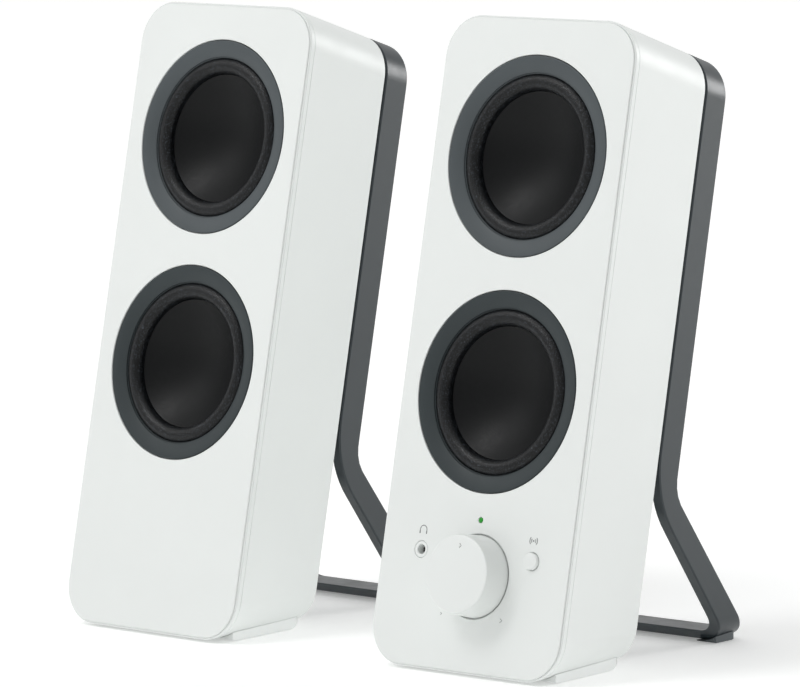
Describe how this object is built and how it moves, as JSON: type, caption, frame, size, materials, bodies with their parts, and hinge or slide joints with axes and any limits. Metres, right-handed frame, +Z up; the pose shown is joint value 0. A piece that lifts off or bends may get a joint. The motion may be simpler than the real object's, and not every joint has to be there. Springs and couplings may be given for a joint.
{
  "type": "desktop speakers",
  "caption": "Leaning desktop speakers with round driver and radiator openings, a volume knob and front controls, on bent loop stands.",
  "frame": {"origin": "middle of the pair's footprint, on the desk", "axes": "+Z up, +X towards the active speaker that carries the controls, the fronts face -Y"},
  "size_m": [0.2496, 0.1336, 0.2389],
  "materials": {
    "white_plastic": "satin moulded white plastic",
    "grey_plastic": "satin dark grey plastic",
    "black_rubber": "semi-gloss butyl rubber",
    "black_cone": "satin black polypropylene",
    "foot_rubber": "matt white rubber",
    "pad_rubber": "matt grey rubber",
    "steel": "plated steel",
    "ferrite": "matt dark ferrite",
    "copper": "enamelled copper winding",
    "spider_cloth": "resin-dipped woven cloth",
    "circuit_board": "green solder mask",
    "black_plastic": "satin black plastic",
    "green_lens": "clear green lens",
    "zinc": "bright zinc plating"
  },
  "bodies": {
    "right_speaker": {"amplifier_board": "circuit_board", "audio_input_1": "black_plastic", "audio_input_2": "black_plastic", "cabinet_shell_right": "white_plastic", "control_board": "circuit_board", "driver_basket_right": "black_plastic", "driver_magnet_right": "ferrite", "driver_spider_right": "spider_cloth", "driver_surround_right": "black_rubber", "driver_yoke_right": "steel", "fascia_right": "white_plastic", "foot_strip_right_left": "foot_rubber", "foot_strip_right_right": "foot_rubber", "front_baffle_right": "white_plastic", "headphone_jack": "white_plastic", "lower_bezel_right": "grey_plastic", "pairing_switch": "black_plastic", "power_inlet": "black_plastic", "power_led": "green_lens", "radiator_frame_right": "black_plastic", "radiator_surround_right": "black_rubber", "rear_pad_right_left": "pad_rubber", "rear_pad_right_right": "pad_rubber", "rear_panel_right": "grey_plastic", "speaker_output": "zinc", "stand_right": "grey_plastic", "stand_screw_right": "steel", "upper_bezel_right": "grey_plastic", "volume_potentiometer": "steel"},
    "left_speaker": {"cabinet_shell_left": "white_plastic", "driver_basket_left": "black_plastic", "driver_magnet_left": "ferrite", "driver_spider_left": "spider_cloth", "driver_surround_left": "black_rubber", "driver_yoke_left": "steel", "fascia_left": "white_plastic", "foot_strip_left_left": "foot_rubber", "foot_strip_left_right": "foot_rubber", "front_baffle_left": "white_plastic", "lower_bezel_left": "grey_plastic", "radiator_frame_left": "black_plastic", "radiator_surround_left": "black_rubber", "rear_pad_left_left": "pad_rubber", "rear_pad_left_right": "pad_rubber", "rear_panel_left": "grey_plastic", "speaker_input": "zinc", "stand_left": "grey_plastic", "stand_screw_left": "steel", "upper_bezel_left": "grey_plastic"},
    "volume_knob": {"volume_knob": "white_plastic", "volume_shaft": "zinc"},
    "pairing_button": {"pairing_button": "white_plastic"},
    "driver_cone_right": {"driver_cone_right": "black_cone", "voice_coil_right": "copper"},
    "radiator_cone_right": {"radiator_cone_right": "black_cone", "radiator_weight_right": "steel"},
    "driver_cone_left": {"driver_cone_left": "black_cone", "voice_coil_left": "copper"},
    "radiator_cone_left": {"radiator_cone_left": "black_cone", "radiator_weight_left": "steel"}
  },
  "joints": [
    {"name": "left_speaker_placing", "type": "slide", "parent": "right_speaker", "child": "left_speaker", "axis": [1, 0, 0], "range_m": [-0.2, 0.04]},
    {"name": "volume_turn", "type": "hinge", "parent": "right_speaker", "child": "volume_knob", "pos_m": [0.08024, -0.05295, 0.03625], "axis": [0, -0.9765, 0.2156], "range_deg": [-135, 135]},
    {"name": "pairing_press", "type": "slide", "parent": "right_speaker", "child": "pairing_button", "axis": [0, 0.9765, -0.2156], "range_m": [0, 0.0007], "stiffness_N_per_m": 600},
    {"name": "driver_cone_travel_right", "type": "slide", "parent": "right_speaker", "child": "driver_cone_right", "axis": [0, -0.9765, 0.2156], "range_m": [-0.002, 0.002], "stiffness_N_per_m": 700, "deforming": ["driver_surround_right", "driver_spider_right"]},
    {"name": "radiator_cone_travel_right", "type": "slide", "parent": "right_speaker", "child": "radiator_cone_right", "axis": [0, -0.9765, 0.2156], "range_m": [-0.002, 0.002], "stiffness_N_per_m": 700, "deforming": ["radiator_surround_right"]},
    {"name": "driver_cone_travel_left", "type": "slide", "parent": "left_speaker", "child": "driver_cone_left", "axis": [-0.0256, -0.9761, 0.2156], "range_m": [-0.002, 0.002], "stiffness_N_per_m": 700, "deforming": ["driver_surround_left", "driver_spider_left"]},
    {"name": "radiator_cone_travel_left", "type": "slide", "parent": "left_speaker", "child": "radiator_cone_left", "axis": [-0.0256, -0.9761, 0.2156], "range_m": [-0.002, 0.002], "stiffness_N_per_m": 700, "deforming": ["radiator_surround_left"]}
  ]
}
